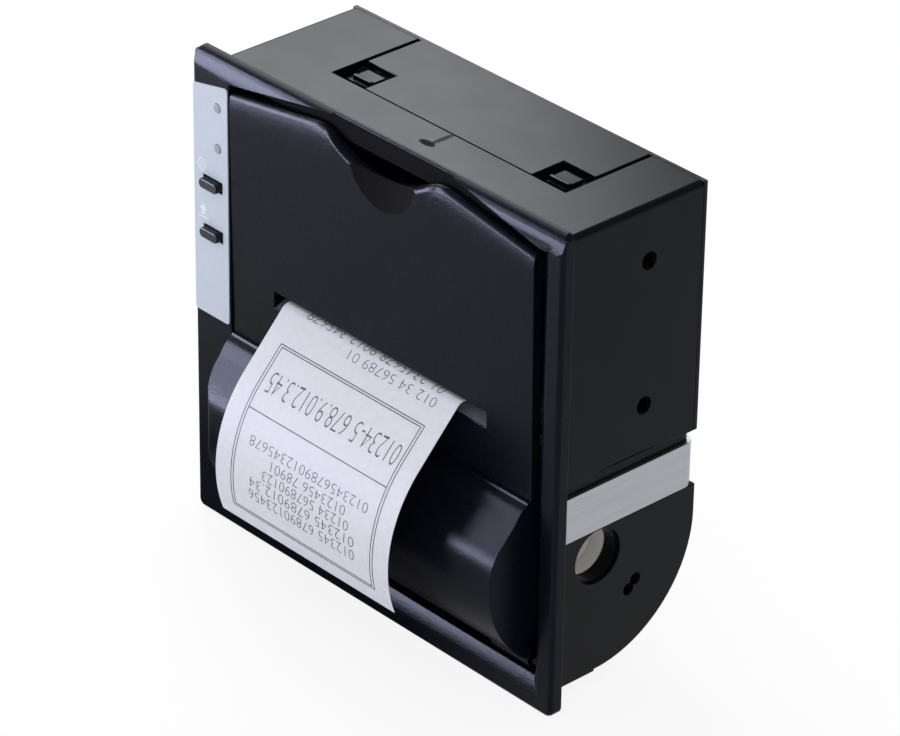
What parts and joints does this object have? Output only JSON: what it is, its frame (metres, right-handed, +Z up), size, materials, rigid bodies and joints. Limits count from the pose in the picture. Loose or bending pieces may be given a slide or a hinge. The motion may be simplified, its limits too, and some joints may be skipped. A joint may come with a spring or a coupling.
{
  "type": "panel-mount receipt printer",
  "caption": "Panel-mount thermal receipt printer: square bezel with keypad, hinged door with paper slot and roll cover, print mechanism, gear train, paper hubs, steel strap, rear board.",
  "frame": {"origin": "centre of the panel cut-out, on the back of the bezel flange where it meets the panel", "axes": "+X to the right seen from the front, +Y to the back through the panel, +Z up"},
  "size_m": [0.12, 0.0682, 0.1196],
  "materials": {
    "textured_black_plastic": "spark-eroded texture",
    "satin_black_plastic": "satin",
    "zinc_plated_steel": "rolled",
    "screw_steel": "turned",
    "bright_steel": "ground",
    "black_steel": "black oxide",
    "grey_guide_plastic": "satin",
    "spring_steel": "drawn wire",
    "label_film": "printed film",
    "grey_button_plastic": "satin",
    "switch_plastic": "matte",
    "circuit_board": "solder resist",
    "green_lamp_resin": "clear tinted",
    "red_lamp_resin": "clear tinted",
    "white_acetal": "moulded",
    "thermal_paper": "coated paper",
    "core_board": "wound board",
    "pinion_brass": "hobbed",
    "contact_brass": "plated pins",
    "platen_rubber": "ground",
    "head_aluminium": "extruded",
    "head_ceramic": "glazed ceramic",
    "chip_resin": "moulded",
    "socket_plastic": "moulded"
  },
  "bodies": {
    "housing": {"front_bezel": "textured_black_plastic", "upper_housing": "satin_black_plastic", "rear_cover": "satin_black_plastic", "paper_bucket": "satin_black_plastic", "mounting_strap": "zinc_plated_steel", "strap_screws": "screw_steel", "keypad_label": "label_film", "tact_switches": "switch_plastic", "keypad_board": "circuit_board", "keypad_screws": "screw_steel", "power_led": "green_lamp_resin", "status_led": "red_lamp_resin", "hinge_pins": "black_steel", "paper_web": "thermal_paper", "left_hub": "white_acetal", "mech_chassis": "zinc_plated_steel", "chassis_screws": "screw_steel", "head_axle": "bright_steel", "idler_pins": "bright_steel", "feed_motor": "zinc_plated_steel", "paper_sensor": "switch_plastic", "main_board": "circuit_board", "board_screws": "screw_steel", "board_chips": "chip_resin", "power_socket": "socket_plastic", "data_socket": "socket_plastic", "power_contacts": "contact_brass", "data_contacts": "contact_brass", "hub_bush": "satin_black_plastic", "head_springs": "spring_steel", "hub_spring": "spring_steel"},
    "door": {"door_panel": "textured_black_plastic", "roll_cover": "textured_black_plastic", "platen_carrier": "grey_guide_plastic", "platen_bushes": "white_acetal", "tear_bar": "bright_steel", "receipt_strip": "thermal_paper"},
    "platen": {"platen_roller": "platen_rubber", "platen_shaft": "bright_steel", "platen_gear": "white_acetal"},
    "idler_a": {"idler_gear_a": "white_acetal"},
    "idler_b": {"idler_gear_b": "white_acetal"},
    "pinion": {"motor_pinion": "pinion_brass", "pinion_shaft": "bright_steel"},
    "print_head": {"head_heat_sink": "head_aluminium", "head_ceramic": "head_ceramic"},
    "roll": {"paper_roll": "thermal_paper", "roll_core": "core_board"},
    "hub": {"right_hub": "white_acetal"},
    "feed_key": {"feed_button": "grey_button_plastic"},
    "print_key": {"print_button": "grey_button_plastic"}
  },
  "joints": [
    {"name": "door_hinge", "type": "hinge", "parent": "housing", "child": "door", "pos_m": [0, -0.0005, -0.0486], "axis": [1, 0, 0], "range_deg": [0, 80]},
    {"name": "roll_spin", "type": "hinge", "parent": "housing", "child": "roll", "pos_m": [0, 0.013, -0.026], "axis": [1, 0, 0], "continuous": true},
    {"name": "platen_spin", "type": "hinge", "parent": "door", "child": "platen", "pos_m": [0, 0.0095, 0.002], "axis": [1, 0, 0], "continuous": true},
    {"name": "idler_a_spin", "type": "hinge", "parent": "housing", "child": "idler_a", "pos_m": [0, 0.0199, -0.00006], "axis": [1, 0, 0], "continuous": true},
    {"name": "idler_b_spin", "type": "hinge", "parent": "housing", "child": "idler_b", "pos_m": [0, 0.02305, 0.01214], "axis": [1, 0, 0], "continuous": true},
    {"name": "pinion_spin", "type": "hinge", "parent": "housing", "child": "pinion", "pos_m": [0, 0.02305, 0.02274], "axis": [1, 0, 0], "continuous": true},
    {"name": "head_pivot", "type": "hinge", "parent": "housing", "child": "print_head", "pos_m": [0, 0.0157, 0.0138], "axis": [-1, 0, 0], "range_deg": [0, 4], "stiffness_Nm_per_rad": 0.5, "springref_deg": -5.73, "deforming": ["head_springs"]},
    {"name": "hub_slide", "type": "slide", "parent": "housing", "child": "hub", "axis": [1, 0, 0], "range_m": [0, 0.0075], "stiffness_N_per_m": 400, "springref_m": -0.004, "deforming": ["hub_spring"]},
    {"name": "feed_press", "type": "slide", "parent": "housing", "child": "feed_key", "axis": [0, 1, 0], "range_m": [0, 0.0006], "stiffness_N_per_m": 1500, "springref_m": -0.0005},
    {"name": "print_press", "type": "slide", "parent": "housing", "child": "print_key", "axis": [0, 1, 0], "range_m": [0, 0.0006], "stiffness_N_per_m": 1500, "springref_m": -0.0005}
  ],
  "couplings": [
    {"joint": "platen_spin", "follows": "roll_spin", "ratio": 4},
    {"joint": "idler_a_spin", "follows": "roll_spin", "ratio": -4.4},
    {"joint": "idler_b_spin", "follows": "roll_spin", "ratio": 2.9333},
    {"joint": "pinion_spin", "follows": "roll_spin", "ratio": -7.3333}
  ]
}
